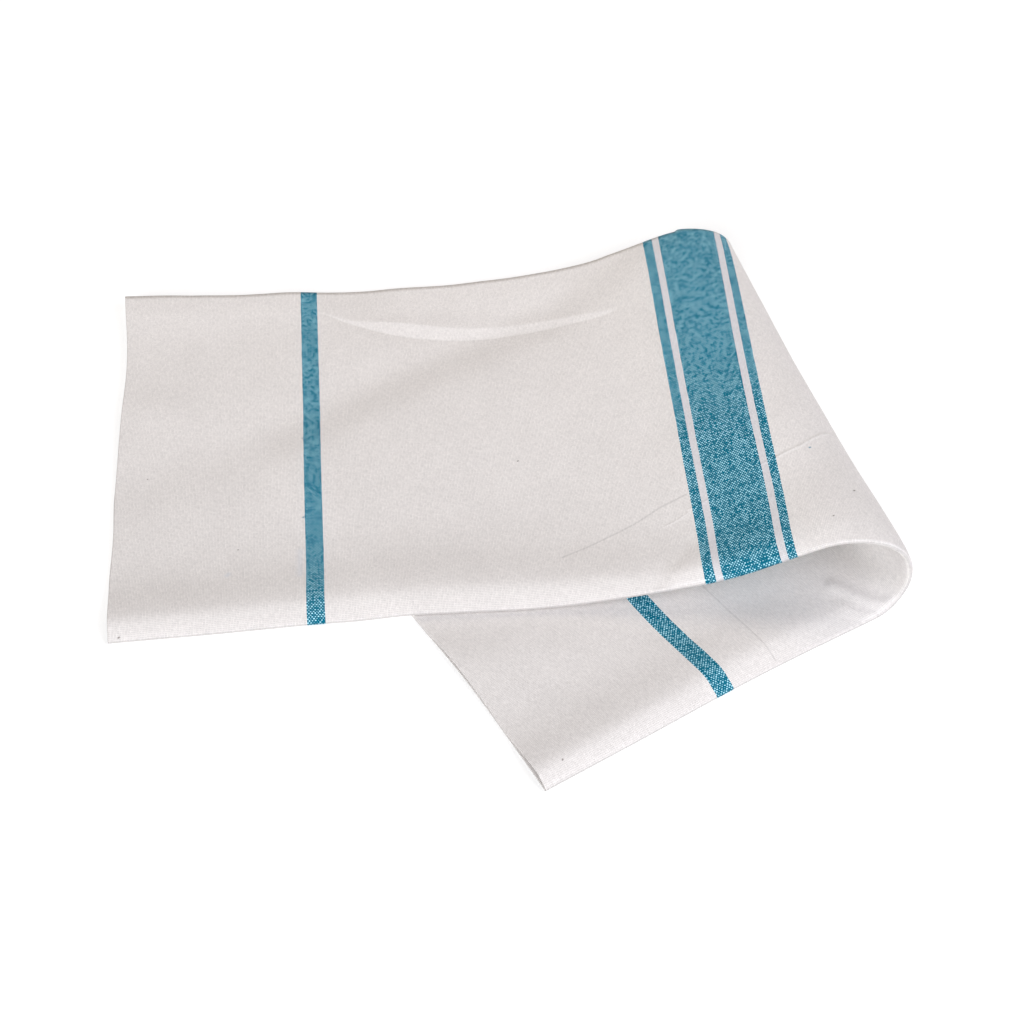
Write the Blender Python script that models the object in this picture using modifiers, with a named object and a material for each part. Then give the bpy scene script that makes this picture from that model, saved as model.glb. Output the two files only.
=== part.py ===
"""A tea towel as it was put down: folded in half along its length, then turned over in a slanting, open roll.

The towel is cut flat, as one grid, and folded by giving each of its points a new place. A point is named by
where it lies in the cloth: `along` is measured from the first end, and `across` from the lengthwise fold,
positive on the ply that goes round the outside of the roll and negative on the ply inside it.
Lengths are in metres, +Z up. +X runs along the upper limb, from its end towards the roll.
"""

from collections import namedtuple

import bmesh
import bpy
import numpy as np

MM = 0.001

# The cloth, flat
LENGTH = 0.700  # from selvedge to selvedge
OUTER_PLY = 0.260  # the lengthwise fold lies a little off the middle of the 0.50 m width
INNER_PLY = 0.240
THICKNESS = 0.001

# How the layers lie on each other
PLY_HALF = 0.00075  # from the strip's middle to the middle of each of its plies, where they lie closest
FOLD_RADIUS = 0.0020  # of the lengthwise fold, to the middle of the cloth
FLOOR_MIDDLE = THICKNESS / 2 + PLY_HALF  # height of the strip's middle where it lies on the ground
STACK_MIDDLE = FLOOR_MIDDLE + 0.0030  # and where the upper limb lies on the lower one
STEP_DOWN = 0.075  # how far the upper limb takes to come down from the lower one to the ground
LEAN = np.radians(13.43)  # of the roll, from square across the strip

# Middle of the finished shape, seen from above, measured from the near corner of the upper limb's end
MIDDLE_X, MIDDLE_Y = 0.2173, 0.0735

# The roll, cut square to its own axis, at the strip's near edge and at its far one. The cloth's length is in
# mm and its slope in degrees. It bends evenly from each row to the next.
Bend = namedtuple("Bend", "place near_length near_slope far_length far_slope")
BENDS = (
    Bend("leaves the stack", 214, 0, 238, 0),
    Bend("low rise", 256, 8, 300, 6),
    Bend("foot of the arch", 312, 12, 330, 13.5),
    Bend("steep rise", 348, 29, 346, 27),
    Bend("upper rise", 378, 26.5, 385, 22),
    Bend("crown", 395, 0, 401.5, 0),
    Bend("shoulder", 413, -23, 417.5, -22),
    Bend("outermost", 443, -91, 441.5, -90),
    Bend("on the ground", 472.5, -180, 465, -180),
)
CROWN_LENGTH = 0.395
SECTION_COUNT = 27  # sections worked out from edge to edge
SECTION_START, SECTION_END = -0.020, 0.780
WAIST = 0.0026  # how far the roll is drawn in halfway between its ends
WAIST_FROM, WAIST_REACH = 0.36, 0.05  # where in the section that starts

# The lengthwise fold is puffy, with a shallow valley behind it. `share` is the part of the way from the
# fold to the valley, and `lift` (mm) is how far the upper ply stands off the lower one, past the closest.
Puff = namedtuple("Puff", "share lift")
PUFF = (Puff(0.05, 2.5), Puff(0.22, 3.2), Puff(0.45, 2.5), Puff(0.75, 0.8), Puff(1.0, 0.1), Puff(1.5, 0.3),
        Puff(2.6, 0.9), Puff(13.0, 0.9))
LIFT_IN_ROLL = 0.5  # the part of the lift that is left behind the valley where the roll stands upright

# Distance of that valley from the fold (mm), along the towel (mm)
Valley = namedtuple("Valley", "along distance")
VALLEY = (Valley(0, 33), Valley(150, 38), Valley(300, 45), Valley(420, 40), Valley(550, 34),
          Valley(620, 28), Valley(700, 19))

# The lower limb's upper ply is pressed flat by the upper limb. It is free in front of it and under the arch.
FREE_IN_FRONT, FREE_IN_FRONT_REACH = 0.004, 0.030
FREE_UNDER_ARCH, FREE_UNDER_ARCH_REACH = 0.27, 0.06

# The strip's two long edges aren't quite straight: how far each stands out (mm), along the towel (mm)
EdgeWave = namedtuple("EdgeWave", "along near far")
EDGE_WAVE = (
    EdgeWave(0, 2.7, 2.0), EdgeWave(60, 1.2, 0.4), EdgeWave(120, -0.6, 0.0), EdgeWave(160, -0.5, -1.2),
    EdgeWave(220, 0.1, 0.8), EdgeWave(280, 0.1, 1.2), EdgeWave(360, 0.0, 0.8), EdgeWave(430, 0.0, 0.2),
    EdgeWave(465, 0.5, 0.0), EdgeWave(500, 0.2, 0.0), EdgeWave(540, -1.0, 0.0), EdgeWave(580, -1.4, 0.0),
    EdgeWave(640, -0.4, 0.0), EdgeWave(700, 0.2, 0.0),
)

# Nor are the two ends: how far the first stands out in each ply, and the second in both (mm), across (mm)
EndWave = namedtuple("EndWave", "across first_outer first_inner second")
END_WAVE = (EndWave(0, -0.3, -0.3, 0.0), EndWave(40, 0.0, 0.8, -0.4), EndWave(70, -0.8, -0.2, -0.4),
            EndWave(100, 0.2, 1.0, 0.7), EndWave(125, 0.0, 0.0, 2.4), EndWave(150, -0.6, -0.4, 2.8),
            EndWave(200, -2.2, -1.8, 0.0), EndWave(260, 0.4, 0.0, 0.0))
WAVE_REACH = 0.060  # how far into the cloth an edge's wave is felt

# The cloth is pulled askew behind its second end: how far it slips towards that end (mm), across (mm)
Slip = namedtuple("Slip", "across slip")
SLIP = (Slip(0, -2.5), Slip(20, -2.0), Slip(75, 4.0), Slip(130, 3.0), Slip(260, 0.0))
SLIP_FROM, SLIP_REACH, SLIP_END_REACH = 0.46, 0.08, 0.09

# Folds pressed or pushed into a ply, as soft ridges (height over 0) or troughs, in mm on the cloth
Fold = namedtuple("Fold", "name ply width height points")
FOLDS = (
    Fold("arc ridge", "outer", 9, 1.0, ((119, 240), (138, 229), (163, 221), (197, 213), (240, 211), (304, 210))),
    Fold("slanting valley", "outer", 24, -0.8, ((95, 118), (129, 148), (153, 168), (206, 191), (262, 200))),
    Fold("first end, far valley", "outer", 17, -0.7, ((-10, 190), (55, 184))),
    Fold("first end, middle valley", "outer", 14, -0.6, ((-10, 147), (40, 150))),
    Fold("first end, near ridge", "outer", 16, 0.8, ((-10, 108), (60, 104))),
    Fold("dimple by the band", "outer", 5, -0.9, ((297, 2), (304, 6), (313, 13))),
    Fold("long fold in the bend", "inner", 8, 3.4, ((495, 37), (491.6, 20.7), (481.4, 4.5))),
    Fold("short fold in the bend", "inner", 6, 2.2, ((498.6, 21.6), (495, 3.2))),
    Fold("hollow under the arch", "inner", 22, 2.5, ((430, 60), (455, 42))),
)
FAR_CORNER_LIFT = 0.0030  # the far corner of the first end curls up a little
FAR_CORNER_REACH = 0.060
EDGE_CLEARANCE = 0.002  # the outer ply comes down past the inner ply's edge from here

# Where the grid's lines run: rows up to each place (mm) at the lengthwise fold, and columns in one ply (mm).
# The rows are square to the length at the ends and lean with the roll in between.
Rows = namedtuple("Rows", "until count")
ROWS = (Rows(12, 1), Rows(220, 12), Rows(385, 13), Rows(492, 20), Rows(688, 13), Rows(700, 1))
ROWS_LEAN_FROM, ROWS_LEAN_UNTIL = 0.25, 0.50
FOLD_STEPS = 3  # columns round each half of the lengthwise fold
COLUMNS = (6, 10, 15, 21, 29, 40, 54, 72, 95, 122, 150, 176, 198, 213, 228, 243)
SHORTEST_STEP = 0.004  # a column nearer than this to its ply's edge is left out

CLOTH_COLOUR = (0.72, 0.69, 0.66, 1.0)
CLOTH_ROUGHNESS = 0.9


def column(rows, name):
    """One named column of a table."""
    return np.array([getattr(row, name) for row in rows], float)


def through(x, xs, ys):
    """A smooth curve through the points (xs, ys), read at x."""
    x = np.clip(x, xs[0], xs[-1])
    tangents = np.gradient(ys, xs)
    i = np.clip(np.searchsorted(xs, x, side="right") - 1, 0, len(xs) - 2)
    gap = xs[i + 1] - xs[i]
    f = (x - xs[i]) / gap
    start = ys[i] * (1 + 2 * f) + gap * f * tangents[i]
    end = ys[i + 1] * (3 - 2 * f) - gap * (1 - f) * tangents[i + 1]
    return start * (1 - f) ** 2 + end * f**2


def from_table(x, rows, given, name):
    """A smooth curve through one named column of a table in mm, read at x metres of the column `given`."""
    return through(x, column(rows, given) * MM, column(rows, name) * MM)


def eased(x):
    """From 0 to 1 with a soft start and end."""
    x = np.clip(x, 0, 1)
    return x * x * (3 - 2 * x)


def roll_section(share):
    """The section `share` of the way from the near edge to the far: x, z and slope for each mm of cloth."""
    lengths = (1 - share) * column(BENDS, "near_length") + share * column(BENDS, "far_length")
    slopes = (1 - share) * column(BENDS, "near_slope") + share * column(BENDS, "far_slope")
    length = np.arange(SECTION_START, SECTION_END, MM)
    slope = np.radians(np.interp(length, lengths * MM, slopes))
    middle = (slope[1:] + slope[:-1]) / 2
    x = np.concatenate([[0], np.cumsum(np.cos(middle) * MM)]) + SECTION_START
    z = np.concatenate([[0], np.cumsum(np.sin(middle) * MM)]) + STACK_MIDDLE
    crown = int(np.argmax(z))
    drop = (z[crown] - FLOOR_MIDDLE) / (z[crown] - z[-1])
    z[crown:] = z[crown] - (z[crown] - z[crown:]) * drop
    slope[crown:] = np.arctan2(np.sin(slope[crown:]) * drop, np.cos(slope[crown:]))
    slope[slope > np.pi / 2] -= 2 * np.pi
    x -= WAIST * 4 * share * (1 - share) * eased((x - WAIST_FROM) / WAIST_REACH)
    return np.stack([x, z, slope], -1)


def read_sections(sections, length, share):
    """x, z and slope at each length and share, read between the sections."""
    across = np.clip(share, 0, 1) * (len(sections) - 1)
    row = np.minimum(across.astype(int), len(sections) - 2)
    along = (length - SECTION_START) / MM
    place = along.astype(int)
    f, g = (across - row)[..., None], (along - place)[..., None]
    before = sections[row, place] * (1 - g) + sections[row, place + 1] * g
    after = sections[row + 1, place] * (1 - g) + sections[row + 1, place + 1] * g
    return np.moveaxis(before * (1 - f) + after * f, -1, 0)


def strip_middle(along, reach):
    """Where the strip's middle surface is, and its outward normal, `reach` from the lengthwise fold."""
    sections = np.stack([roll_section(share) for share in np.linspace(0, 1, SECTION_COUNT)])
    length = along * np.cos(LEAN) + reach * np.sin(LEAN)
    v = reach * np.cos(LEAN) - along * np.sin(LEAN)
    x, z, slope = read_sections(sections, length, reach / OUTER_PLY)
    point = np.stack([x * np.cos(LEAN) - v * np.sin(LEAN), x * np.sin(LEAN) + v * np.cos(LEAN), z], -1)
    normal = np.stack([-np.sin(slope) * np.cos(LEAN), -np.sin(slope) * np.sin(LEAN), np.cos(slope)], -1)
    return point, normal


def above_lower_limb(point):
    """1 where the upper limb lies on the lower one, easing to 0 where it lies on the ground."""
    corner = strip_middle(np.array([LENGTH]), np.array([0.0]))[0][0]
    x, y = point[..., 0] - corner[0], point[..., 1] - corner[1]
    inside_end = x * np.cos(2 * LEAN) + y * np.sin(2 * LEAN)
    inside_edge = y * np.cos(2 * LEAN) - x * np.sin(2 * LEAN)
    outside = np.hypot(np.maximum(-inside_end, 0), np.maximum(inside_edge - OUTER_PLY, 0))
    return eased(1 - outside / STEP_DOWN)


def lower_limb_free(point):
    """1 where the lower limb's upper ply is free to stand off, 0 where the upper limb presses it flat."""
    in_front = eased((-FREE_IN_FRONT - point[..., 1]) / FREE_IN_FRONT_REACH)
    under_arch = eased((point[..., 0] - FREE_UNDER_ARCH) / FREE_UNDER_ARCH_REACH)
    return np.maximum(in_front, under_arch)


def fold_height(along, reach, ply):
    """Height of the pressed folds of one ply, in metres."""
    height = np.zeros(along.shape)
    for fold in FOLDS:
        if fold.ply != ply:
            continue
        points = np.array(fold.points) * MM
        nearest = np.full(along.shape, np.inf)
        for (s0, t0), (s1, t1) in zip(points[:-1], points[1:]):
            ds, dt = s1 - s0, t1 - t0
            f = np.clip(((along - s0) * ds + (reach - t0) * dt) / (ds * ds + dt * dt), 0, 1)
            nearest = np.minimum(nearest, np.hypot(along - s0 - f * ds, reach - t0 - f * dt))
        height += fold.height * MM * np.exp(-((nearest / (fold.width * MM)) ** 2))
    return height


def pulled(along, reach, outer):
    """Where each point goes in the strip's own plane: the waves of its edges and ends, and the skew."""
    near_out = from_table(along, EDGE_WAVE, "along", "near") * eased(1 - reach / WAVE_REACH)
    far_out = from_table(along, EDGE_WAVE, "along", "far") * eased(1 - (OUTER_PLY - reach) / WAVE_REACH)
    first_out = np.where(outer, from_table(reach, END_WAVE, "across", "first_outer"),
                         from_table(reach, END_WAVE, "across", "first_inner")) * eased(1 - along / WAVE_REACH)
    second_out = from_table(reach, END_WAVE, "across", "second") * eased(1 - (LENGTH - along) / WAVE_REACH)
    slip = from_table(reach, SLIP, "across", "slip")
    slip = slip * eased((along - SLIP_FROM) / SLIP_REACH) * eased((LENGTH - along) / SLIP_END_REACH)
    return along - first_out + second_out + slip, reach - near_out + far_out


def folded(along, across):
    """The folded place of the cloth's middle surface, for each point of the flat cloth."""
    arc = FOLD_RADIUS * np.pi / 2
    side = np.abs(across)
    in_fold = side < arc
    angle = np.clip(across / FOLD_RADIUS, -np.pi / 2, np.pi / 2)
    reach = np.where(in_fold, FOLD_RADIUS * (1 - np.cos(angle)), side - arc + FOLD_RADIUS)
    outer = across >= 0
    point, normal = strip_middle(*pulled(along, reach, outer))

    # facing is 1 on the upper limb, where the outer ply is on top, and -1 on the lower limb
    facing = normal[..., 2]
    valley = from_table(along, VALLEY, "along", "distance")
    lift = through(reach / valley, column(PUFF, "share"), column(PUFF, "lift") * MM)
    lift = lift * np.where(reach > valley, LIFT_IN_ROLL + (1 - LIFT_IN_ROLL) * facing**2, 1)
    outer_off = PLY_HALF + lift * (1 + facing) / 2 + fold_height(along, reach, "outer")
    inner_lift = lift * (1 - facing) / 2 * lower_limb_free(point)
    inner_off = PLY_HALF + inner_lift + fold_height(along, reach, "inner")
    centre = (FOLD_RADIUS - PLY_HALF) * facing
    offset = np.where(outer, np.maximum(outer_off, PLY_HALF), -np.maximum(inner_off, PLY_HALF))
    offset = np.where(in_fold, centre + FOLD_RADIUS * np.sin(angle), offset)
    overhang = eased((across - INNER_PLY - EDGE_CLEARANCE) / (OUTER_PLY - INNER_PLY - EDGE_CLEARANCE))
    offset = offset - (offset + PLY_HALF) * overhang * np.maximum(facing, 0)
    point = point + normal * offset[..., None]

    # the upper limb comes down to the ground beside the lower one, and its far corner curls up
    upper = along * np.cos(LEAN) + reach * np.sin(LEAN) < CROWN_LENGTH
    point[..., 2] -= np.where(upper, (1 - above_lower_limb(point)) * (STACK_MIDDLE - FLOOR_MIDDLE), 0)
    corner = np.hypot(along, OUTER_PLY - reach) / FAR_CORNER_REACH
    point[..., 2] += FAR_CORNER_LIFT * np.exp(-(corner**2))
    return point - np.array([MIDDLE_X, MIDDLE_Y, 0])


def grid_lines():
    """The rows (at the lengthwise fold) and the columns of the grid, in metres."""
    rows, start = [0.0], 0.0
    for stretch in ROWS:
        rows += list(np.linspace(start, stretch.until * MM, stretch.count + 1)[1:])
        start = stretch.until * MM
    arc = FOLD_RADIUS * np.pi / 2
    fold = list(np.linspace(-arc, arc, 2 * FOLD_STEPS + 1))
    outer = [c * MM for c in COLUMNS if c * MM < OUTER_PLY - SHORTEST_STEP] + [OUTER_PLY]
    inner = [c * MM for c in COLUMNS if c * MM < INNER_PLY - SHORTEST_STEP] + [INNER_PLY]
    return np.array(rows), np.array([-c for c in inner[::-1]] + fold + outer)


def leaning(row, across):
    """Where along the towel a row runs at each column."""
    lean = np.minimum(eased(row / ROWS_LEAN_FROM), eased((LENGTH - row) / (LENGTH - ROWS_LEAN_UNTIL)))
    return row - np.abs(across) * np.tan(LEAN) * lean


def make_towel(collection):
    """One flat grid, cut to size, folded, and given the cloth's thickness."""
    rows, columns = grid_lines()
    cut = bmesh.new()
    bmesh.ops.create_grid(cut, x_segments=len(rows) - 1, y_segments=len(columns) - 1, size=0.5)
    mesh = bpy.data.meshes.new("towel_cloth")
    cut.to_mesh(mesh)
    cut.free()

    flat = np.empty(len(mesh.vertices) * 3)
    mesh.vertices.foreach_get("co", flat)
    flat = flat.reshape(-1, 3) + 0.5
    row = rows[np.rint(flat[:, 0] * (len(rows) - 1)).astype(int)]
    across = columns[np.rint(flat[:, 1] * (len(columns) - 1)).astype(int)]
    mesh.vertices.foreach_set("co", folded(leaning(row, across), across).ravel())
    mesh.update()
    mesh.shade_smooth()

    towel = bpy.data.objects.new("towel_cloth", mesh)
    collection.objects.link(towel)
    solid = towel.modifiers.new("cloth thickness", "SOLIDIFY")
    solid.thickness = THICKNESS
    solid.offset = 0
    solid.use_even_offset = True
    return towel


def cotton():
    """Off-white plain-weave cotton."""
    material = bpy.data.materials.new("cotton")
    material.use_nodes = True
    shader = material.node_tree.nodes["Principled BSDF"]
    shader.inputs["Base Color"].default_value = CLOTH_COLOUR
    shader.inputs["Roughness"].default_value = CLOTH_ROUGHNESS
    shader.inputs["Metallic"].default_value = 0
    return material


for old in list(bpy.data.objects):
    bpy.data.objects.remove(old, do_unlink=True)
towel_collection = bpy.data.collections.new("tea towel")
bpy.context.scene.collection.children.link(towel_collection)
make_towel(towel_collection).data.materials.append(cotton())
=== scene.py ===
"""A tea towel as it looks: folded in half along its length, then turned over in a slanting, open roll.

The frame's one solid gives the towel's place. The cloth here is folded from the same sizes, on a finer grid
and at the cotton's own thickness, and then gets its pressed creases, its weave and its woven stripes.
Lengths are in metres, +Z up. On the flat cloth `along` is measured from the first end and `across` from the
lengthwise fold, positive on the ply that goes round the outside of the roll and negative on the ply inside.
"""

from collections import namedtuple

import bmesh
import bpy
import numpy as np
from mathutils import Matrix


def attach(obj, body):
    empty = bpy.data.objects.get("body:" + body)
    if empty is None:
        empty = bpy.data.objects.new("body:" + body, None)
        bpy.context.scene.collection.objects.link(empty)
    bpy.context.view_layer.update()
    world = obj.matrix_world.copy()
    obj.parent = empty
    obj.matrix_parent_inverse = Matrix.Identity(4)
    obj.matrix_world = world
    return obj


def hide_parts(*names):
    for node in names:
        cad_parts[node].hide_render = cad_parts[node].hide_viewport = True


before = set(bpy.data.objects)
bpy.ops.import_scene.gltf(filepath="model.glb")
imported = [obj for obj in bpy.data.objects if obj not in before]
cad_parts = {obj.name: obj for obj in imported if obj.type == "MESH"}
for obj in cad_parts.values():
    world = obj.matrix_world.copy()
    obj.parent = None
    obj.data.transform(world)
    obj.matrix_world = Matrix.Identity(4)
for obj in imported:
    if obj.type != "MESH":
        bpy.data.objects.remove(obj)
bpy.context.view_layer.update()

# -----------------------------------------------------------------------------------------------------------
# The cloth
# One rectangle of off-white plain-weave cotton, 50 x 70 cm, with plain edges. It is cut flat, as one grid,
# and folded by giving each of its points a new place: first the slanting roll, then the two plies that the
# lengthwise fold makes, then the folds and creases that were pressed or pushed into a ply.
# -----------------------------------------------------------------------------------------------------------
MM = 0.001
CLOTH_LENGTH = 0.700
OUTER_PLY = 0.260
INNER_PLY = 0.240
CLOTH_THICKNESS = 0.0006

SOLID_HALF = 0.0005  # half the thickness of the frame's solid, which the cloth lies in the middle of
PLY_HALF = 0.00075  # from the strip's middle to the middle of each ply, where they lie closest
FOLD_RADIUS = 0.0013  # of the lengthwise fold
LIMB_STEP = 0.0030  # from the lower limb's middle up to the upper one's
FLOOR_MIDDLE = SOLID_HALF + PLY_HALF
STACK_MIDDLE = FLOOR_MIDDLE + LIMB_STEP
STEP_DOWN = 0.036  # how far beside the lower limb the upper one reaches the ground
LEAN = np.radians(13.43)  # how far the roll slants
MIDDLE = np.array([0.2173, 0.0735, 0.0])  # of the folded towel's outline, which goes to the origin

# The roll, square to its own axis: the cloth's length (mm) and its slope (degrees), near edge and far
Bend = namedtuple("Bend", "place near_length near_slope far_length far_slope")
BENDS = (
    Bend("leaves the stack", 214, 0, 238, 0),
    Bend("low rise", 256, 8, 300, 6),
    Bend("foot of the arch", 312, 12, 330, 13.5),
    Bend("steep rise", 348, 29, 346, 27),
    Bend("upper rise", 378, 26.5, 385, 22),
    Bend("crown", 395, 0, 401.5, 0),
    Bend("shoulder", 413, -23, 417.5, -22),
    Bend("outermost", 443, -91, 441.5, -90),
    Bend("on the ground", 472.5, -180, 465, -180),
)
CROWN_LENGTH = 0.395
SECTION_COUNT = 27
SECTION_START, SECTION_END = -0.020, 0.780
WAIST, WAIST_FROM, WAIST_REACH = 0.0026, 0.36, 0.05  # half way from edge to edge, the roll stands back

# How far the upper ply stands off (mm), from the puffy fold to the valley behind it and on across the cloth,
# where it lies flat and where it goes round the outermost part of the roll. `share` is the reach from the
# fold as a part of the valley's distance, which changes along the towel (mm).
Puff = namedtuple("Puff", "share lift in_roll")
PUFF = (Puff(0.03, 1.1, 1.1), Puff(0.08, 1.95, 1.6), Puff(0.16, 3.0, 2.1), Puff(0.24, 3.95, 2.3),
        Puff(0.31, 4.5, 2.4), Puff(0.37, 4.7, 2.4), Puff(0.47, 4.55, 2.4), Puff(0.60, 4.0, 2.4),
        Puff(0.74, 3.25, 2.3), Puff(0.90, 2.3, 2.2), Puff(1.05, 1.5, 2.0), Puff(1.32, 0.6, 1.7),
        Puff(1.58, 0.2, 1.2), Puff(2.0, 0.4, 0.7), Puff(2.8, 1.15, 0.4), Puff(13.0, 0.9, 0.3))
Valley = namedtuple("Valley", "along distance puffiness")
VALLEY = (Valley(0, 31, 1.0), Valley(60, 35, 1.0), Valley(150, 39, 1.0), Valley(240, 38, 1.0),
          Valley(280, 33, 0.9), Valley(300, 28, 0.6), Valley(316, 26, 0.8), Valley(360, 30, 0.8),
          Valley(385, 34, 0.5), Valley(410, 42, 0.3), Valley(450, 42, 0.4), Valley(490, 36, 0.6),
          Valley(550, 38, 1.0), Valley(620, 33, 1.0), Valley(700, 29, 1.0))

# Where the lower limb's upper ply is free to stand off: in front of the upper limb, and under the arch
FREE_IN_FRONT, FREE_IN_FRONT_REACH = 0.004, 0.030
FREE_UNDER_ARCH, FREE_UNDER_ARCH_REACH = 0.27, 0.06

# How far the two long edges and the two ends stand out (mm), and how far the second end is pulled askew (mm)
EdgeWave = namedtuple("EdgeWave", "along near far")
EDGE_WAVE = (
    EdgeWave(0, 2.3, -4.8), EdgeWave(60, 0.5, -6.8), EdgeWave(120, -1.8, -6.2), EdgeWave(160, -1.6, -7.4),
    EdgeWave(220, -0.4, -6.6), EdgeWave(260, -0.1, -4.6), EdgeWave(285, 0.0, -2.0), EdgeWave(320, 0.0, -1.2),
    EdgeWave(360, 0.0, -2.4), EdgeWave(400, 0.0, -1.2), EdgeWave(440, 0.3, 0.0), EdgeWave(468, -0.6, 0.0),
    EdgeWave(488, 0.6, 0.0), EdgeWave(505, 0.1, 0.0), EdgeWave(540, -1.0, 0.0), EdgeWave(580, -1.5, 0.0),
    EdgeWave(640, -0.5, 0.0), EdgeWave(700, 0.1, 0.0),
)
EndWave = namedtuple("EndWave", "across first_outer first_inner second")
END_WAVE = (EndWave(0, -0.7, -0.7, -0.9), EndWave(40, 0.1, 0.8, -1.3), EndWave(70, -0.6, 0.0, -1.3),
            EndWave(100, 0.1, 0.7, -0.1), EndWave(125, -0.5, -0.5, 1.8), EndWave(150, -1.1, -0.9, 2.6),
            EndWave(200, -3.1, -2.7, 0.0), EndWave(260, -0.5, -0.9, 0.0))
WAVE_REACH = 0.060
Slip = namedtuple("Slip", "across slip")
SLIP = (Slip(0, -1.5), Slip(11, -1.4), Slip(23, -0.7), Slip(38, 0.2), Slip(52, 1.3), Slip(65, 2.4),
        Slip(75, 3.0), Slip(130, 2.6), Slip(260, 0.0))
SLIP_FROM, SLIP_REACH, SLIP_END_REACH = 0.46, 0.08, 0.09

# Soft folds of one ply: ridges (height over 0) and troughs, in mm, through points (along, across)
Fold = namedtuple("Fold", "name ply width height points")
FOLDS = (
    Fold("slanting valley", "outer", 20, -1.2, ((-6, 103), (54, 127), (104, 142), (144, 173), (184, 191),
                                                (224, 205), (256, 215))),
    Fold("first end, far ridge", "outer", 12, 0.7, ((-10, 166), (30, 164))),
    Fold("far edge, first part", "outer", 34, 3.8, ((-10, 272), (92, 272))),
    Fold("far edge, middle part", "outer", 28, 3.2, ((175, 270), (250, 270))),
    Fold("by the band", "outer", 12, 0.5, ((318, 8), (324, 95))),
    Fold("dimple by the band", "outer", 6, -0.6, ((299, 6), (302, 10), (311, 16), (320, 26))),
    Fold("long fold in the bend", "inner", 4, 1.5, ((497.5, 27), (491.5, 15.6), (486.1, 7.1), (478.2, 2))),
    Fold("short fold in the bend", "inner", 3, 0.7, ((501.6, 12.3), (498.4, 6.4), (491.7, 2))),
    Fold("hollow under the arch", "inner", 22, 2.5, ((430, 60), (455, 42))),
)
FAR_CORNER_LIFT, FAR_CORNER_REACH = 0.0030, 0.060
EDGE_CLEARANCE = 0.002  # how far past the inner ply's edge the outer ply starts to come down
EDGE_DROP = 0.0006  # how far it comes down

# The pressed crease near the far edge: a flat, curved facet that tips towards the near side. `lower` and
# `upper` are its two borders across the cloth (mm), along the towel (mm).
PressedBand = namedtuple("PressedBand", "along lower upper")
PRESSED_BAND = (
    PressedBand(0, 208, 216), PressedBand(60, 212, 218), PressedBand(100, 232, 235),
    PressedBand(119, 239, 240.5), PressedBand(138, 227.6, 231), PressedBand(163, 215.5, 225.9),
    PressedBand(197, 208.5, 218.2), PressedBand(222, 206.6, 215.2), PressedBand(255, 207, 214.2),
    PressedBand(285, 207.6, 212.2), PressedBand(304, 210, 211), PressedBand(350, 208, 216),
    PressedBand(700, 208, 216),
)
PRESSED_SLOPE = 0.20  # how steeply the facet tips
PRESSED_FROM, PRESSED_UNTIL, PRESSED_EASE = 0.112, 0.308, 0.020
PRESSED_FADE = 0.016  # how far the step at its borders is felt on either side

# The slight unevenness of cloth that has been handled: waves of the upper ply, longest first (mm)
Ripple = namedtuple("Ripple", "wavelength height")
RIPPLES = (Ripple(96, 0.35), Ripple(61, 0.25), Ripple(37, 0.14), Ripple(23, 0.08), Ripple(15, 0.04))
RIPPLE_SEED = 5

# The grid: rows and columns up to each place (mm), with the step between them (mm)
Stretch = namedtuple("Stretch", "until step")
ROWS = (Stretch(3, 0.75), Stretch(60, 2.2), Stretch(330, 2.6), Stretch(480, 1.8), Stretch(697, 2.5),
        Stretch(700, 0.75))
ROWS_LEAN_FROM, ROWS_LEAN_UNTIL = 0.25, 0.50  # between these, the rows run along the slanting roll
FOLD_STEPS = 6  # columns round each half of the lengthwise fold
OUTER_COLUMNS = (Stretch(10, 1.2), Stretch(46, 2.0), Stretch(190, 4.8), Stretch(207, 2.1), Stretch(209, 0.5),
                 Stretch(215, 1.5), Stretch(217, 0.5), Stretch(245, 2.5), Stretch(260, 3.0))
INNER_COLUMNS = (Stretch(10, 1.4), Stretch(60, 2.4), Stretch(240, 6.0))
BAND_NOMINAL = (0.190, 0.208, 0.216, 0.246)  # the columns that are moved onto the pressed band's borders


def column(rows, name):
    """One named column of a table."""
    return np.array([getattr(row, name) for row in rows], float)


def through(x, xs, ys):
    """A smooth curve through the points (xs, ys), read at x."""
    x = np.clip(x, xs[0], xs[-1])
    tangents = np.gradient(ys, xs)
    i = np.clip(np.searchsorted(xs, x, side="right") - 1, 0, len(xs) - 2)
    gap = xs[i + 1] - xs[i]
    f = (x - xs[i]) / gap
    start = ys[i] * (1 + 2 * f) + gap * f * tangents[i]
    end = ys[i + 1] * (3 - 2 * f) - gap * (1 - f) * tangents[i + 1]
    return start * (1 - f) ** 2 + end * f**2


def from_table(x, rows, given, name):
    """A smooth curve through one named column of a table in mm, read at x metres of the column `given`."""
    return through(x, column(rows, given) * MM, column(rows, name) * MM)


def eased(x):
    """From 0 to 1 with a soft start and end."""
    x = np.clip(x, 0, 1)
    return x * x * (3 - 2 * x)


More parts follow.
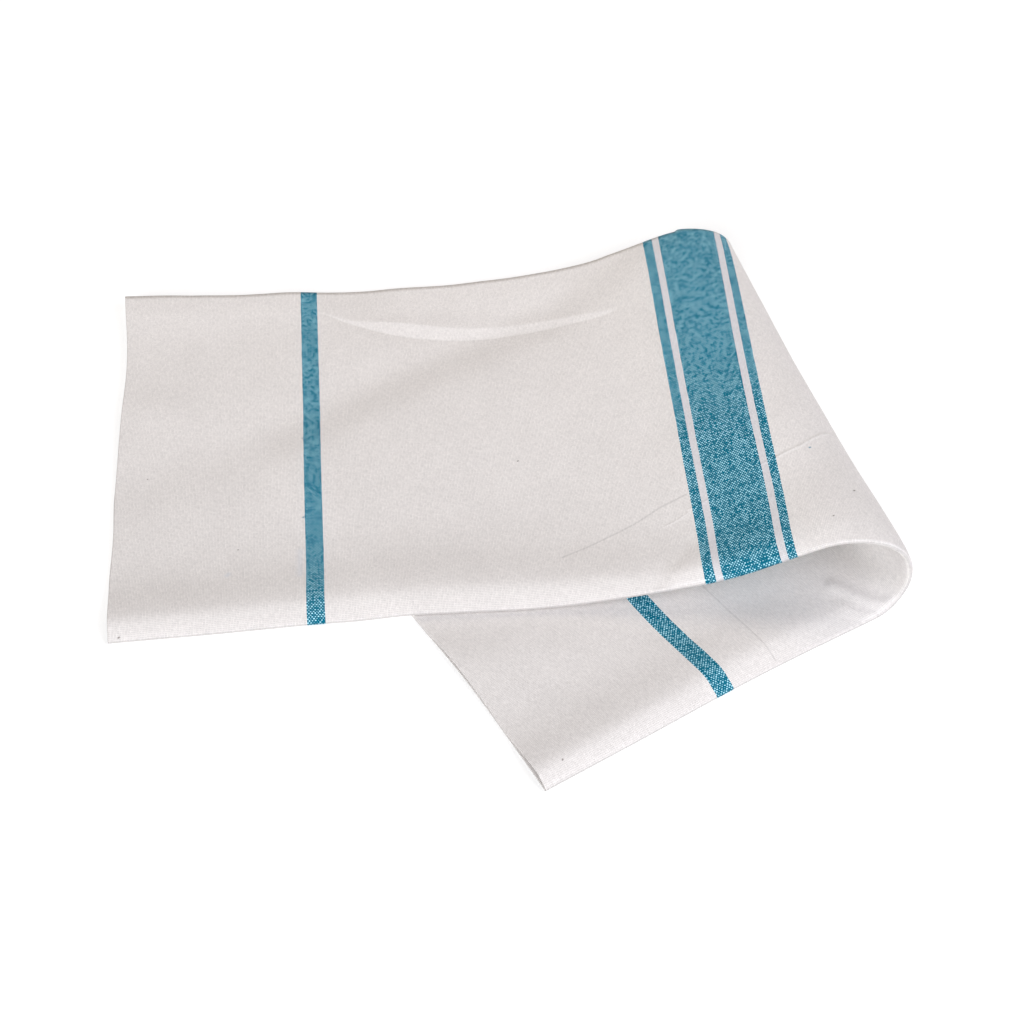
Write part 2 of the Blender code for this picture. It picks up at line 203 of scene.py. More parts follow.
def roll_section(share):
    """The section `share` of the way from the near edge to the far: x, z and slope for each mm of cloth."""
    lengths = (1 - share) * column(BENDS, "near_length") + share * column(BENDS, "far_length")
    slopes = (1 - share) * column(BENDS, "near_slope") + share * column(BENDS, "far_slope")
    length = np.arange(SECTION_START, SECTION_END, MM)
    slope = np.radians(np.interp(length, lengths * MM, slopes))
    middle = (slope[1:] + slope[:-1]) / 2
    x = np.concatenate([[0], np.cumsum(np.cos(middle) * MM)]) + SECTION_START
    z = np.concatenate([[0], np.cumsum(np.sin(middle) * MM)]) + STACK_MIDDLE
    crown = int(np.argmax(z))
    drop = (z[crown] - FLOOR_MIDDLE) / (z[crown] - z[-1])
    z[crown:] = z[crown] - (z[crown] - z[crown:]) * drop
    slope[crown:] = np.arctan2(np.sin(slope[crown:]) * drop, np.cos(slope[crown:]))
    slope[slope > np.pi / 2] -= 2 * np.pi
    x -= WAIST * 4 * share * (1 - share) * eased((x - WAIST_FROM) / WAIST_REACH)
    return np.stack([x, z, slope], -1)


def read_sections(sections, length, share):
    """x, z and slope at each length and share, read between the sections."""
    across = np.clip(share, 0, 1) * (len(sections) - 1)
    row = np.minimum(across.astype(int), len(sections) - 2)
    along = (length - SECTION_START) / MM
    place = along.astype(int)
    f, g = (across - row)[..., None], (along - place)[..., None]
    before = sections[row, place] * (1 - g) + sections[row, place + 1] * g
    after = sections[row + 1, place] * (1 - g) + sections[row + 1, place + 1] * g
    return np.moveaxis(before * (1 - f) + after * f, -1, 0)


def strip_middle(along, reach):
    """Where the strip's middle surface is, and its outward normal, `reach` from the lengthwise fold."""
    sections = np.stack([roll_section(share) for share in np.linspace(0, 1, SECTION_COUNT)])
    length = along * np.cos(LEAN) + reach * np.sin(LEAN)
    v = reach * np.cos(LEAN) - along * np.sin(LEAN)
    x, z, slope = read_sections(sections, length, reach / OUTER_PLY)
    point = np.stack([x * np.cos(LEAN) - v * np.sin(LEAN), x * np.sin(LEAN) + v * np.cos(LEAN), z], -1)
    normal = np.stack([-np.sin(slope) * np.cos(LEAN), -np.sin(slope) * np.sin(LEAN), np.cos(slope)], -1)
    return point, normal


def above_lower_limb(point):
    """1 where the upper limb lies on the lower one, easing to 0 where it lies on the ground."""
    corner = strip_middle(np.array([CLOTH_LENGTH]), np.array([0.0]))[0][0]
    x, y = point[..., 0] - corner[0], point[..., 1] - corner[1]
    inside_end = x * np.cos(2 * LEAN) + y * np.sin(2 * LEAN)
    inside_edge = y * np.cos(2 * LEAN) - x * np.sin(2 * LEAN)
    outside = np.hypot(np.maximum(-inside_end, 0), np.maximum(inside_edge - OUTER_PLY, 0))
    return eased(1 - outside / STEP_DOWN)


def lower_limb_free(point):
    """1 where the lower limb's upper ply is free to stand off, 0 where the upper limb presses it flat."""
    in_front = eased((-FREE_IN_FRONT - point[..., 1]) / FREE_IN_FRONT_REACH)
    under_arch = eased((point[..., 0] - FREE_UNDER_ARCH) / FREE_UNDER_ARCH_REACH)
    return np.maximum(in_front, under_arch)


def fold_height(along, reach, ply):
    """Height of the soft folds of one ply, in metres."""
    height = np.zeros(along.shape)
    for fold in FOLDS:
        if fold.ply != ply:
            continue
        points = np.array(fold.points) * MM
        nearest = np.full(along.shape, np.inf)
        for (s0, t0), (s1, t1) in zip(points[:-1], points[1:]):
            ds, dt = s1 - s0, t1 - t0
            f = np.clip(((along - s0) * ds + (reach - t0) * dt) / (ds * ds + dt * dt), 0, 1)
            nearest = np.minimum(nearest, np.hypot(along - s0 - f * ds, reach - t0 - f * dt))
        height += fold.height * MM * np.exp(-((nearest / (fold.width * MM)) ** 2))
    return height


def pressed_height(along, across):
    """Height of the pressed band: a facet between its borders, which fades out on either side."""
    lower = from_table(along, PRESSED_BAND, "along", "lower")
    upper = from_table(along, PRESSED_BAND, "along", "upper")
    half = (upper - lower) / 2
    off_middle = across - (upper + lower) / 2
    beyond = np.maximum(np.abs(off_middle) - half, 0)
    step = np.clip(off_middle, -half, half) * np.exp(-beyond / PRESSED_FADE)
    shown = eased((along - PRESSED_FROM) / PRESSED_EASE) * eased((PRESSED_UNTIL - along) / PRESSED_EASE)
    return PRESSED_SLOPE * step * shown


def ripple_height(along, across):
    """The unevenness of the upper ply, never below 0."""
    chance = np.random.default_rng(RIPPLE_SEED)
    height = np.zeros(along.shape)
    for ripple in RIPPLES:
        heading, start = chance.uniform(0, 2 * np.pi, 2)
        way = (along * np.cos(heading) + across * np.sin(heading)) / (ripple.wavelength * MM)
        height += ripple.height * MM / 2 * (1 + np.sin(2 * np.pi * way + start))
    return height


def pulled(along, reach, outer):
    """Where each point goes in the strip's own plane: the waves of its edges and ends, and the skew."""
    near_out = from_table(along, EDGE_WAVE, "along", "near") * eased(1 - reach / WAVE_REACH)
    far_out = from_table(along, EDGE_WAVE, "along", "far") * eased(1 - (OUTER_PLY - reach) / WAVE_REACH)
    first_out = np.where(outer, from_table(reach, END_WAVE, "across", "first_outer"),
                         from_table(reach, END_WAVE, "across", "first_inner")) * eased(1 - along / WAVE_REACH)
    second_out = from_table(reach, END_WAVE, "across", "second")
    second_out = second_out * eased(1 - (CLOTH_LENGTH - along) / WAVE_REACH)
    slip = from_table(reach, SLIP, "across", "slip")
    slip = slip * eased((along - SLIP_FROM) / SLIP_REACH) * eased((CLOTH_LENGTH - along) / SLIP_END_REACH)
    return along - first_out + second_out + slip, reach - near_out + far_out


def folded(along, across):
    """The folded place of the cloth's middle surface, for each point of the flat cloth."""
    arc = FOLD_RADIUS * np.pi / 2
    side = np.abs(across)
    in_fold = side < arc
    angle = np.clip(across / FOLD_RADIUS, -np.pi / 2, np.pi / 2)
    reach = np.where(in_fold, FOLD_RADIUS * (1 - np.cos(angle)), side - arc + FOLD_RADIUS)
    outer = across >= 0
    point, normal = strip_middle(*pulled(along, reach, outer))

    # facing is 1 on the upper limb, where the outer ply is on top, and -1 on the lower limb
    facing = normal[..., 2]
    share = reach / from_table(along, VALLEY, "along", "distance")
    lift = through(share, column(PUFF, "share"), column(PUFF, "lift") * MM)
    puffiness = through(along, column(VALLEY, "along") * MM, column(VALLEY, "puffiness"))
    edge_lift = PUFF[0].lift * MM
    lift = np.where(lift > edge_lift, edge_lift + (lift - edge_lift) * puffiness, lift)
    lift_in_roll = through(share, column(PUFF, "share"), column(PUFF, "in_roll") * MM)
    lift = lift * facing**2 + lift_in_roll * (1 - facing**2)
    lift = lift + ripple_height(along, across) * eased(reach / WAVE_REACH)
    outer_off = PLY_HALF + lift * (1 + facing) / 2 + fold_height(along, reach, "outer")
    outer_off = outer_off + pressed_height(along, reach)
    inner_lift = lift * (1 - facing) / 2 * lower_limb_free(point)
    inner_off = PLY_HALF + inner_lift + fold_height(along, reach, "inner")
    centre = (FOLD_RADIUS - PLY_HALF) * facing
    offset = np.where(outer, np.maximum(outer_off, PLY_HALF), -np.maximum(inner_off, PLY_HALF))
    offset = np.where(in_fold, centre + FOLD_RADIUS * np.sin(angle), offset)
    overhang = eased((across - INNER_PLY - EDGE_CLEARANCE) / (OUTER_PLY - INNER_PLY - EDGE_CLEARANCE))
    offset = offset - EDGE_DROP * overhang * np.maximum(facing, 0)
    point = point + normal * offset[..., None]

    # the upper limb comes down to the ground beside the lower one, and its far corner curls up
    upper = along * np.cos(LEAN) + reach * np.sin(LEAN) < CROWN_LENGTH
    point[..., 2] -= np.where(upper, (1 - above_lower_limb(point)) * (STACK_MIDDLE - FLOOR_MIDDLE), 0)
    corner = np.hypot(along, OUTER_PLY - reach) / FAR_CORNER_REACH
    point[..., 2] += FAR_CORNER_LIFT * np.exp(-(corner**2)) - (SOLID_HALF - CLOTH_THICKNESS / 2)
    return point - MIDDLE


def stepped(stretches, start):
    """Places from `start` to the end of the last stretch, at about each stretch's own step, in metres."""
    places = []
    for stretch in stretches:
        count = max(1, round((stretch.until * MM - start) / (stretch.step * MM)))
        places += list(np.linspace(start, stretch.until * MM, count + 1)[1:])
        start = stretch.until * MM
    return places


def grid_lines():
    """The rows (at the lengthwise fold) and the columns of the grid, in metres."""
    arc = FOLD_RADIUS * np.pi / 2
    fold = list(np.linspace(-arc, arc, 2 * FOLD_STEPS + 1))
    outer, inner = stepped(OUTER_COLUMNS, arc), stepped(INNER_COLUMNS, arc)
    return np.array([0.0] + stepped(ROWS, 0.0)), np.array([-c for c in inner[::-1]] + fold + outer)


def leaning(row, across):
    """Where along the towel a row runs at each column."""
    from_first_end = eased(row / ROWS_LEAN_FROM)
    from_second_end = eased((CLOTH_LENGTH - row) / (CLOTH_LENGTH - ROWS_LEAN_UNTIL))
    return row - np.abs(across) * np.tan(LEAN) * np.minimum(from_first_end, from_second_end)


def along_the_band(along, across):
    """Where across the towel a column runs, so that two of them follow the pressed band's borders."""
    start, low, high, end = BAND_NOMINAL
    lower = from_table(along, PRESSED_BAND, "along", "lower")
    upper = from_table(along, PRESSED_BAND, "along", "upper")
    before = start + (across - start) * (lower - start) / (low - start)
    inside = lower + (across - low) * (upper - lower) / (high - low)
    after = upper + (across - high) * (end - upper) / (end - high)
    return np.select([across < start, across < low, across < high, across < end],
                     [across, before, inside, after], across)


def make_towel():
    """One flat grid, cut to size, folded, and given the cloth's thickness."""
    rows, columns = grid_lines()
    cut = bmesh.new()
    bmesh.ops.create_grid(cut, x_segments=len(rows) - 1, y_segments=len(columns) - 1, size=0.5)
    mesh = bpy.data.meshes.new("towel")
    cut.to_mesh(mesh)
    cut.free()

    flat = np.empty(len(mesh.vertices) * 3)
    mesh.vertices.foreach_get("co", flat)
    flat = flat.reshape(-1, 3) + 0.5
    row = rows[np.rint(flat[:, 0] * (len(rows) - 1)).astype(int)]
    across = columns[np.rint(flat[:, 1] * (len(columns) - 1)).astype(int)]
    along = leaning(row, across)
    across = along_the_band(along, across)
    mesh.vertices.foreach_set("co", folded(along, across).ravel())

    # each point of the mesh keeps its place on the flat cloth, in metres, as its UV
    corner = np.empty(len(mesh.loops), int)
    mesh.loops.foreach_get("vertex_index", corner)
    flat_cloth = mesh.uv_layers.new(name="flat cloth")
    flat_cloth.data.foreach_set("uv", np.stack([along, across], -1)[corner].ravel())
    mesh.update()
    mesh.shade_smooth()

    towel = bpy.data.objects.new("towel", mesh)
    bpy.context.scene.collection.objects.link(towel)
    solid = towel.modifiers.new("cloth thickness", "SOLIDIFY")
    solid.thickness = CLOTH_THICKNESS
    solid.offset = 0
    solid.use_even_offset = True
    return towel


# The weave. Cotton yarns cross over and under each other, one by one. The ones that run the short way of the
# towel are dyed teal in the stripes: a thin stripe near each end, and a wide one with a thin one on each
# side by the middle. The ones that run the long way are undyed, so every stripe shows their pale crossings.
DYED_PITCH = 0.00083  # from one of them to the next
LONG_PITCH = 0.00094
YARN_WOBBLE, YARN_WOBBLES_A_METRE = 0.0005, 190.0  # how far and how often a yarn wanders off its line
DYED_SHARE = 0.53  # how much more the dyed yarns cover than the long ones
UNEVENNESS = 1.0  # how much the crossings differ in size, by chance
EVERY_OTHER = 0.10  # how much more every other dyed yarn covers
YARN_EDGE = 0.10  # how softly one yarn gives way to the next
HOLLOW_DEPTH = (0.42, 0.12)  # heights between which the hollows between yarns grow dark
HOLLOW_SHADE = 0.30
WEAVE_DEPTH, WEAVE_STRENGTH = 0.00010, 0.6
TONE_STEP = 7.3  # how far apart the tones of neighbouring yarns are read
TONE_CHANGES_A_METRE = 380.0  # along one yarn
LONG_TONES = 40.0  # where the long yarns' tones are read, away from the dyed ones'
NOISE_SPAN = (0.3, 0.7)  # most values of a noise lie between these
YARN_TONES = (0.90, 1.07)
CLOUDS_A_METRE, CLOUD_TONES = 38.0, (0.985, 1.015)

Stripe = namedtuple("Stripe", "start end")
STRIPES = (Stripe(107.8, 117.2), Stripe(324.2, 329.9), Stripe(334.1, 366.9), Stripe(371.5, 376.5),
           Stripe(583.1, 593.6))
GAPS = (Stripe(329.9, 334.1), Stripe(366.9, 371.5))
UNDYED = (0.80, 0.765, 0.745, 1)
UNDYED_IN_GAP = (0.71, 0.695, 0.715, 1)  # beside the dyed yarns the white takes on a little of their blue
TEAL = (0.0, 0.147, 0.233, 1)
CROSSING_IN_TEAL = (0.44, 0.82, 0.95, 1)
FOLD_PAINTED_SHADE = 0.32  # painted shade: how much darker the colour is made on the lengthwise fold
FOLD_PAINTED_SHADE_REACH = 0.0015
COTTON_ROUGHNESS = 0.88
COTTON_GLOSS = 0.12
COTTON_SHEEN = 0.08
COTTON_SHEEN_ROUGHNESS = 0.45

# Thin creases, too sharp for the grid: ridges (height over 0) and troughs, through points (along, across),
# in mm. `shade` is how much darker the colour is made along a line: painted shade in the long crease's
# dark part. The last one is only a thin darker line the short way across the lower limb, with no relief.
Crease = namedtuple("Crease", "name width height shade points")
THIN_CREASES = (
    Crease("long crease, dark part", 0.55, -0.03, 0.17, ((249, 31), (262, 36), (276.5, 42.4), (291, 48.5),
                                                         (306.5, 56.6), (322, 61.6))),
    Crease("long crease, light part", 0.8, 0.16, 0, ((322, 51), (331.5, 53.5), (350.8, 60), (368.5, 65.6),
                                                     (377, 67))),
    Crease("crease over the crown", 0.9, 0.24, 0, ((377, 67), (384.7, 69.5), (392, 72.5), (408, 84),
                                                   (422, 88.5))),
    Crease("short crease", 0.7, 0.13, 0, ((307, 43), (314.5, 45.6), (322, 49.4))),
    Crease("thin dark line", 0.4, 0, 0.17, ((554.5, -3), (554.5, -66))),
)

# Seed flecks and bits of teal lint caught in the cotton: where, and how long, in mm
FLECK_WIDTH = 0.8  # as a part of its length
FLECK_STRENGTH = 0.85
Fleck = namedtuple("Fleck", "along across size colour")
SEED = (0.10, 0.07, 0.055, 1)
LINT = (0.05, 0.22, 0.32, 1)
FLECKS = (
    Fleck(230, 105, 0.45, SEED), Fleck(18, 112, 0.35, SEED), Fleck(70, 56, 0.35, SEED),
    Fleck(6, 2.1, 0.5, SEED), Fleck(414.5, 37.9, 0.55, SEED), Fleck(399.2, 18, 0.4, SEED),
    Fleck(684.6, -9.3, 0.45, SEED), Fleck(107.2, 134.1, 0.6, LINT), Fleck(106.7, 75.6, 0.6, LINT),
    Fleck(396.4, 70.5, 0.6, LINT),
)

# Where a little dye has run into the white
Smear = namedtuple("Smear", "start end width strength")
RUN_DYE = (0.50, 0.57, 0.68, 1)
SMEARS = (Smear((104.2, 34), (104.6, 52), 2.2, 0.20), Smear((64.2, 37.5), (65, 38.5), 1.4, 0.25))


def put(tree, kind, inputs=(), **settings):
    """Adds a node: its settings by name, and its inputs by name or number, each a value or a socket."""
    node = tree.nodes.new(kind)
    for name, value in settings.items():
        setattr(node, name, value)
    for name, value in dict(inputs).items():
        if isinstance(value, bpy.types.NodeSocket):
            tree.links.new(value, node.inputs[name])
        else:
            node.inputs[name].default_value = value
    return node


def maths(tree, operation, *values):
    """One step of a sum on numbers."""
    return put(tree, "ShaderNodeMath", dict(enumerate(values)), operation=operation).outputs[0]


def vector_maths(tree, operation, *values, output=0):
    """One step of a sum on vectors."""
    return put(tree, "ShaderNodeVectorMath", dict(enumerate(values)), operation=operation).outputs[output]


def scaled(tree, vector, factor):
    """A vector or a colour, made `factor` times as long or as bright."""
    return put(tree, "ShaderNodeVectorMath", {0: vector, "Scale": factor}, operation="SCALE").outputs[0]


def mixed(tree, share, first, second):
    """Two colours mixed: the first at share 0, the second at share 1."""
    return put(tree, "ShaderNodeMix", {0: share, 6: first, 7: second}, data_type="RGBA").outputs[2]


def soft_step(tree, value, low, high):
    """From 0 at `low` to 1 at `high`."""
    inputs = {0: value, 1: low, 2: high}
    return put(tree, "ShaderNodeMapRange", inputs, interpolation_type="SMOOTHSTEP").outputs[0]


def noise(tree, place, scale, detail):
    """Soft noise from about 0 to 1."""
    return put(tree, "ShaderNodeTexNoise", {"Vector": place, "Scale": scale, "Detail": detail}).outputs[0]


def toned(tree, value, tones):
    """A noise's value, brought into the span from the first tone to the second."""
    inputs = {0: value, 1: NOISE_SPAN[0], 2: NOISE_SPAN[1], 3: tones[0], 4: tones[1]}
    return put(tree, "ShaderNodeMapRange", inputs).outputs[0]


def new_group(name, inputs, outputs):
    """A shader node group. Each input is a name, a kind of socket and, for numbers, a value."""
    group = bpy.data.node_groups.new(name, "ShaderNodeTree")
    for socket, kind, *value in inputs:
        made = group.interface.new_socket(socket, in_out="INPUT", socket_type="NodeSocket" + kind)
        for v in value:
            made.default_value = v
    for socket, kind in outputs:
        group.interface.new_socket(socket, in_out="OUTPUT", socket_type="NodeSocket" + kind)
    return group, group.nodes.new("NodeGroupInput").outputs, group.nodes.new("NodeGroupOutput").inputs


def give(tree, outputs, **sockets):
    """Joins sockets to a group's outputs, by name with _ for a space."""
    for name, socket in sockets.items():
        tree.links.new(socket, outputs[name.replace("_", " ")])


def plain_weave():
    """Node group: yarns that cross one over one, dyed ones across the towel and long ones along it."""
    tree, given, out = new_group(
        "plain weave",
        [("Place", "Vector"), ("Dyed Pitch", "Float", DYED_PITCH), ("Long Pitch", "Float", LONG_PITCH),
         ("Wobble", "Float", YARN_WOBBLE), ("Dyed Share", "Float", DYED_SHARE),
         ("Unevenness", "Float", UNEVENNESS), ("Every Other", "Float", EVERY_OTHER)],
        [("Dyed Yarn On Top", "Float"), ("Height", "Float"), ("Hollow", "Float"), ("Yarn Shade", "Float"),
         ("Dyed Yarn Middle", "Float")])
    place = given["Place"]

    # yarns aren't quite straight, nor quite evenly spaced
    wobble = put(tree, "ShaderNodeTexNoise", {"Vector": place, "Scale": YARN_WOBBLES_A_METRE, "Detail": 2.0})
    wobble = vector_maths(tree, "SUBTRACT", wobble.outputs["Color"], (0.5, 0.5, 0.5))
    wandering = vector_maths(tree, "ADD", place, scaled(tree, wobble, given["Wobble"]))
    parts = put(tree, "ShaderNodeSeparateXYZ", {0: wandering}).outputs
    u = maths(tree, "DIVIDE", parts[0], given["Dyed Pitch"])
    v = maths(tree, "DIVIDE", parts[1], given["Long Pitch"])

    # a yarn is highest at its middle, and rises and falls as it goes over and under the ones it crosses
    wave_u = maths(tree, "COSINE", maths(tree, "MULTIPLY", u, np.pi))
    wave_v = maths(tree, "COSINE", maths(tree, "MULTIPLY", v, np.pi))
    over = maths(tree, "MULTIPLY", wave_u, wave_v)
    dyed = maths(tree, "MULTIPLY_ADD", maths(tree, "ABSOLUTE", wave_u), 0.5,
                 maths(tree, "MULTIPLY", over, 0.5))
    long = maths(tree, "MULTIPLY_ADD", maths(tree, "ABSOLUTE", wave_v), 0.5,
                 maths(tree, "MULTIPLY", over, -0.5))
    height = maths(tree, "MAXIMUM", dyed, long)

    # the yarn that is higher is on top, but dyed yarns spread wider, and no two crossings are the same size
    number_u, number_v = maths(tree, "ROUND", u), maths(tree, "ROUND", v)
    crossing = put(tree, "ShaderNodeCombineXYZ", {0: number_u, 1: number_v}).outputs[0]
    size = put(tree, "ShaderNodeTexWhiteNoise", {"Vector": crossing}, noise_dimensions="3D")
    size = maths(tree, "SUBTRACT", size.outputs["Value"], 0.5)
    lead = maths(tree, "ADD", maths(tree, "SUBTRACT", dyed, long), given["Dyed Share"])
    lead = maths(tree, "MULTIPLY_ADD", wave_u, given["Every Other"], lead)
    lead = maths(tree, "MULTIPLY_ADD", size, given["Unevenness"], lead)
    on_top = soft_step(tree, lead, -YARN_EDGE, YARN_EDGE)

    # each yarn has its own tone, which changes slowly along it
    tone_dyed = put(tree, "ShaderNodeCombineXYZ",
                    {0: maths(tree, "MULTIPLY", number_u, TONE_STEP),
                     1: maths(tree, "MULTIPLY", parts[1], TONE_CHANGES_A_METRE)}).outputs[0]
    tone_long = put(tree, "ShaderNodeCombineXYZ",
                    {0: maths(tree, "MULTIPLY", parts[0], TONE_CHANGES_A_METRE),
                     1: maths(tree, "MULTIPLY", number_v, TONE_STEP), 2: LONG_TONES}).outputs[0]
    tones = {0: on_top, 2: noise(tree, tone_long, 1.0, 2.0), 3: noise(tree, tone_dyed, 1.0, 2.0)}
    shade = put(tree, "ShaderNodeMix", tones, data_type="FLOAT").outputs[0]
    give(tree, out, Dyed_Yarn_On_Top=on_top, Height=height, Hollow=soft_step(tree, height, *HOLLOW_DEPTH),
         Yarn_Shade=shade, Dyed_Yarn_Middle=maths(tree, "MULTIPLY", number_u, given["Dyed Pitch"]))
    return tree


def woven_stripe():
    """Node group: 1 where a yarn lies between a stripe's start and its end."""
    tree, given, out = new_group("woven stripe", [("Yarn", "Float"), ("Start", "Float"), ("End", "Float")],
                                 [("In Stripe", "Float")])
    after = maths(tree, "GREATER_THAN", given["Yarn"], given["Start"])
    before = maths(tree, "LESS_THAN", given["Yarn"], given["End"])
    give(tree, out, In_Stripe=maths(tree, "MULTIPLY", after, before))
    return tree


def thin_line():
    """Node group: 1 on a straight line over the cloth, falling off softly within its width."""
    tree, given, out = new_group("thin line", [("Place", "Vector"), ("Start", "Vector"), ("End", "Vector"),
                                               ("Width", "Float", MM)], [("On Line", "Float")])
    way = vector_maths(tree, "SUBTRACT", given["End"], given["Start"])
    off = vector_maths(tree, "SUBTRACT", given["Place"], given["Start"])
    done = maths(tree, "DIVIDE", vector_maths(tree, "DOT_PRODUCT", off, way, output=1),
                 vector_maths(tree, "DOT_PRODUCT", way, way, output=1))
    done = put(tree, "ShaderNodeClamp", {0: done}).outputs[0]
    foot = scaled(tree, way, done)
    distance = vector_maths(tree, "LENGTH", vector_maths(tree, "SUBTRACT", off, foot), output=1)
    share = maths(tree, "POWER", maths(tree, "DIVIDE", distance, given["Width"]), 2.0)
    give(tree, out, On_Line=maths(tree, "EXPONENT", maths(tree, "MULTIPLY", share, -1.0)))
    return tree


def cotton(weave, stripe, line):
    """The towel's cotton: its yarns, its dyed stripes, its flecks and its thin creases."""
    material = bpy.data.materials.new("cotton")
    material.use_nodes = True
    tree = material.node_tree
    shader = tree.nodes["Principled BSDF"]
    place = put(tree, "ShaderNodeUVMap", uv_map="flat cloth").outputs[0]
    woven = put(tree, "ShaderNodeGroup", node_tree=weave)
    tree.links.new(place, woven.inputs["Place"])
    yarns = woven.outputs

    def yarns_within(stripes):
        """1 on the yarns that lie in any of the stripes."""
        within = 0.0
        for start, end in stripes:
            one = put(tree, "ShaderNodeGroup", node_tree=stripe)
            one.inputs["Start"].default_value = start * MM
            one.inputs["End"].default_value = end * MM
            tree.links.new(yarns["Dyed Yarn Middle"], one.inputs["Yarn"])
            within = maths(tree, "ADD", one.outputs[0], within)
        return within

    def on_line(start, end, width):
        """1 on a line between two places in mm, falling off within its width."""
        part = put(tree, "ShaderNodeGroup", node_tree=line)
        part.inputs["Start"].default_value = (start[0] * MM, start[1] * MM, 0)
        part.inputs["End"].default_value = (end[0] * MM, end[1] * MM, 0)
        part.inputs["Width"].default_value = width * MM
        tree.links.new(place, part.inputs["Place"])
        return part.outputs[0]

    # the colour of the yarn on top
    in_stripe = mixed(tree, yarns["Dyed Yarn On Top"], CROSSING_IN_TEAL, TEAL)
    colour = mixed(tree, yarns_within(GAPS), UNDYED, UNDYED_IN_GAP)
    colour = mixed(tree, yarns_within(STRIPES), colour, in_stripe)
    clouds = toned(tree, noise(tree, place, CLOUDS_A_METRE, 3.0), CLOUD_TONES)
    shade = maths(tree, "MULTIPLY", toned(tree, yarns["Yarn Shade"], YARN_TONES), clouds)
    shade = maths(tree, "MULTIPLY", shade, maths(tree, "MULTIPLY_ADD", yarns["Hollow"], -HOLLOW_SHADE, 1.0))
    colour = scaled(tree, colour, shade)

    # thin creases, as relief, and the painted shade on the lengthwise fold and in the dark crease
    relief = 0.0
    off_fold = maths(tree, "ABSOLUTE", put(tree, "ShaderNodeSeparateXYZ", {0: place}).outputs[1])
    painted_shade_and_dark_line = maths(tree, "MULTIPLY_ADD", soft_step(tree, off_fold, FOLD_PAINTED_SHADE_REACH, 0.0), -FOLD_PAINTED_SHADE, 1.0)
    for crease in THIN_CREASES:
        ridge = 0.0
        for start, end in zip(crease.points[:-1], crease.points[1:]):
            ridge = maths(tree, "MAXIMUM", on_line(start, end, crease.width), ridge)
        relief = maths(tree, "MULTIPLY_ADD", ridge, crease.height * MM, relief)
        # where a crease has a shade, the colour is made darker along it: painted shade in the dark crease
        if crease.shade:
            painted_shade_and_dark_line = maths(tree, "MULTIPLY", painted_shade_and_dark_line, maths(tree, "MULTIPLY_ADD", ridge, -crease.shade, 1.0))
    colour = scaled(tree, colour, painted_shade_and_dark_line)

    # run dye and flecks
    for smear in SMEARS:
        strength = maths(tree, "MULTIPLY", on_line(smear.start, smear.end, smear.width), smear.strength)
        colour = mixed(tree, strength, colour, RUN_DYE)
    for fleck in FLECKS:
        half = fleck.size / 2
        start, end = (fleck.along - half, fleck.across), (fleck.along + half, fleck.across + half)
        spot = on_line(start, end, fleck.size * FLECK_WIDTH)
        colour = mixed(tree, maths(tree, "MULTIPLY", spot, FLECK_STRENGTH), colour, fleck.colour)
    tree.links.new(colour, shader.inputs["Base Color"])

    # the creases and the weave stand out
    creased = put(tree, "ShaderNodeBump", {"Height": relief, "Distance": 1.0}).outputs[0]
    raised = put(tree, "ShaderNodeBump", {"Height": yarns["Height"], "Distance": WEAVE_DEPTH,
                                          "Strength": WEAVE_STRENGTH, "Normal": creased}).outputs[0]
    tree.links.new(raised, shader.inputs["Normal"])
    shader.inputs["Roughness"].default_value = COTTON_ROUGHNESS
    shader.inputs["Specular IOR Level"].default_value = COTTON_GLOSS
    shader.inputs["Sheen Weight"].default_value = COTTON_SHEEN
    shader.inputs["Sheen Roughness"].default_value = COTTON_SHEEN_ROUGHNESS
    return material


towel = make_towel()
towel.data.materials.append(cotton(plain_weave(), woven_stripe(), thin_line()))
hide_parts("towel_cloth")
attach(towel, "root")

# -----------------------------------------------------------------------------------------------------------
# The floor
# A plain white sheet that the towel lies on, laid flat and curved up at its rim. It isn't part of the towel.
# -----------------------------------------------------------------------------------------------------------
Ring = namedtuple("Ring", "radius height")
FLOOR_RINGS = (Ring(4.5, 0), Ring(5.8, 0), Ring(6.3, 0.08), Ring(6.65, 0.25), Ring(6.9, 0.55), Ring(7.0, 1.0),
               Ring(7.0, 1.6))
FLOOR_TURNS = 96
FLOOR_WHITE = (0.50, 0.50, 0.50, 1)
FLOOR_ROUGHNESS = 0.95
FLOOR_GLOW = 0.60  # a light table: the white sheet glows from below, so that shadows on it stay faint


def make_floor():
    """A flat disc inside rings that rise to a low wall, so that no dark horizon shows."""
    sweep = bmesh.new()
    turns = np.linspace(0, 2 * np.pi, FLOOR_TURNS, endpoint=False)
    rings = [[sweep.verts.new((ring.radius * np.cos(turn), ring.radius * np.sin(turn), ring.height))
              for turn in turns] for ring in FLOOR_RINGS]
    sweep.faces.new(rings[0])
    for inside, outside in zip(rings[:-1], rings[1:]):
        for i in range(FLOOR_TURNS):
            sweep.faces.new((inside[i - 1], outside[i - 1], outside[i], inside[i]))
    mesh = bpy.data.meshes.new("floor")
    sweep.to_mesh(mesh)
    sweep.free()
    mesh.shade_smooth()
    floor = bpy.data.objects.new("floor", mesh)
    bpy.context.scene.collection.objects.link(floor)
    material = bpy.data.materials.new("white light table")
    material.use_nodes = True
    shader = material.node_tree.nodes["Principled BSDF"]
    shader.inputs["Base Color"].default_value = FLOOR_WHITE
    shader.inputs["Roughness"].default_value = FLOOR_ROUGHNESS
    shader.inputs["Emission Color"].default_value = (1, 1, 1, 1)
    shader.inputs["Emission Strength"].default_value = FLOOR_GLOW
    floor.data.materials.append(material)
    return floor


make_floor()

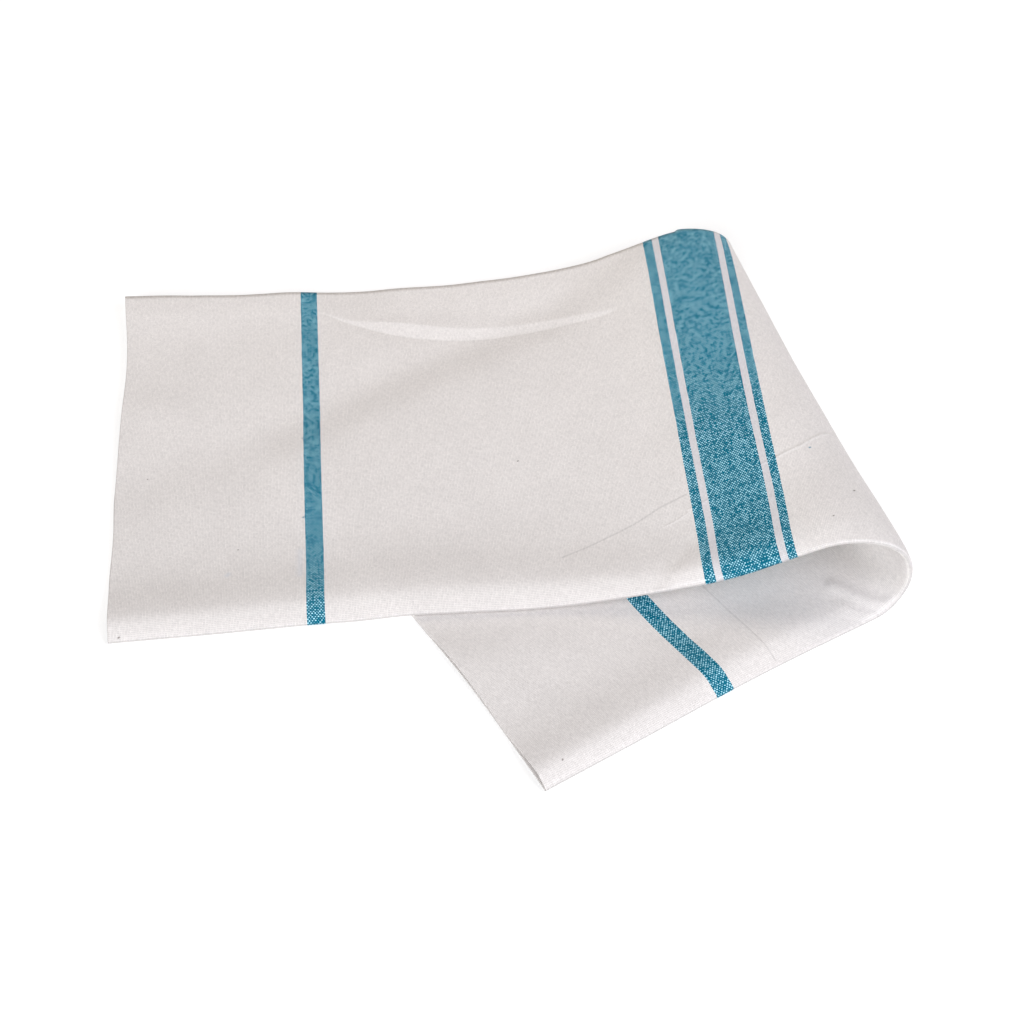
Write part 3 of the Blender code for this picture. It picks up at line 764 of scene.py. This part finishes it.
# -----------------------------------------------------------------------------------------------------------
# Light
# A plain studio: a low soft box in front, a higher one at the right, and a small warm one near the back.
# -----------------------------------------------------------------------------------------------------------
ROOM_COLOUR = (1.0, 0.98, 0.98, 1)
ROOM_STRENGTH = 0.12
SoftBox = namedtuple("SoftBox", "name distance turn height size power colour")  # turn and height in degrees
SOFT_BOXES = (
    SoftBox("front", 5.2, -20, 28, 2.8, 208.0, (0.97, 0.98, 1.0)),
    SoftBox("right", 2.3, 60, 42, 1.3, 28.5, (0.90, 0.92, 1.0)),
    SoftBox("back", 1.2, 180, 50, 0.65, 4.2, (1.0, 0.90, 0.78)),
)


def light_room():
    """White light from every side."""
    world = bpy.data.worlds.new("studio")
    world.use_nodes = True
    world.node_tree.nodes["Background"].inputs["Color"].default_value = ROOM_COLOUR
    world.node_tree.nodes["Background"].inputs["Strength"].default_value = ROOM_STRENGTH
    bpy.context.scene.world = world


def add_soft_box(box):
    """One square area light, aimed at the towel."""
    data = bpy.data.lights.new(box.name, "AREA")
    data.size = box.size
    data.energy = box.power
    data.color = box.colour
    light = bpy.data.objects.new(box.name, data)
    turn, height = np.radians(box.turn), np.radians(box.height)
    ahead = box.distance * np.cos(height)
    light.location = (ahead * np.sin(turn), -ahead * np.cos(turn), box.distance * np.sin(height))
    light.rotation_euler = (-light.location).to_track_quat("-Z", "Y").to_euler()
    bpy.context.scene.collection.objects.link(light)


light_room()
for soft_box in SOFT_BOXES:
    add_soft_box(soft_box)

# -----------------------------------------------------------------------------------------------------------
# The camera
# Above and in front of the towel, looking down at it at about 50 degrees.
# -----------------------------------------------------------------------------------------------------------
CAMERA_PLACE = (-0.0518, -0.7390, 0.8893)
CAMERA_DOWN = 50.21  # degrees below the horizon
CAMERA_TURN = -4.53  # degrees about the vertical
CAMERA_LENS = 71.93

camera = bpy.data.objects.new("camera", bpy.data.cameras.new("camera"))
camera.data.lens = CAMERA_LENS
camera.location = CAMERA_PLACE
camera.rotation_euler = (np.radians(90 - CAMERA_DOWN), 0, np.radians(CAMERA_TURN))
bpy.context.scene.collection.objects.link(camera)
bpy.context.scene.camera = camera
bpy.context.scene.view_settings.view_transform = "Standard"
